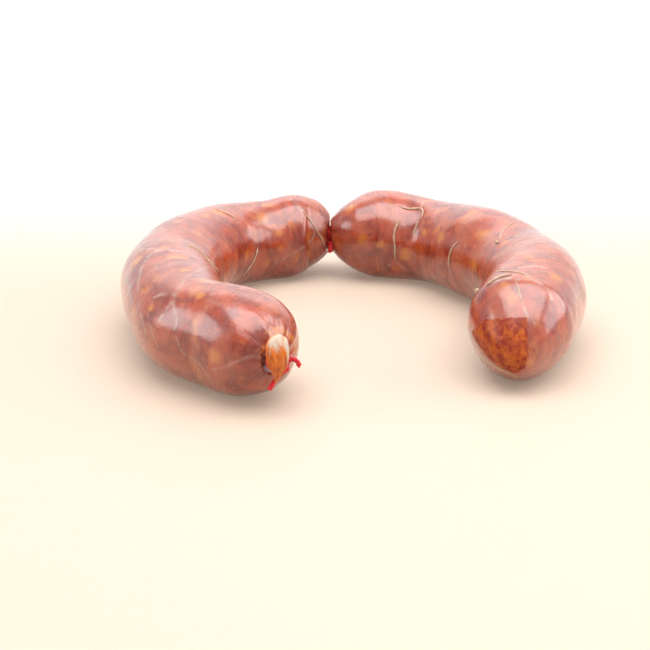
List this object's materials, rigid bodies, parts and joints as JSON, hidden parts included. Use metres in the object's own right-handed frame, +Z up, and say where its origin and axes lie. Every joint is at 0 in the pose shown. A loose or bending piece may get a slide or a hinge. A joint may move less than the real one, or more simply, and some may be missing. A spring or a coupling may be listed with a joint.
{
  "type": "string of sausage links",
  "caption": "Thick paprika-red sausage links in natural casing, joined by a twisted neck tied with red string, lying flat in a wide horseshoe curve.",
  "frame": {"origin": "centre of the whole part's bounding box, on the surface that the links rest on", "axes": "+Z up, +X towards the right-hand link, +Y towards the tie at the back, the free ends towards -Y"},
  "size_m": [0.1846, 0.1932, 0.0392],
  "materials": {
    "casing": "moist natural casing over coarse paprika-red filling with orange fat, milky sheen",
    "string": "twisted red butcher's string",
    "tail": "bare casing, off-white and stained orange by paprika oil"
  },
  "bodies": {
    "root": {"link_left": "casing", "link_right": "casing", "tie_middle": "string", "tie_end": "string", "casing_tail": "tail"}
  },
  "joints": []
}
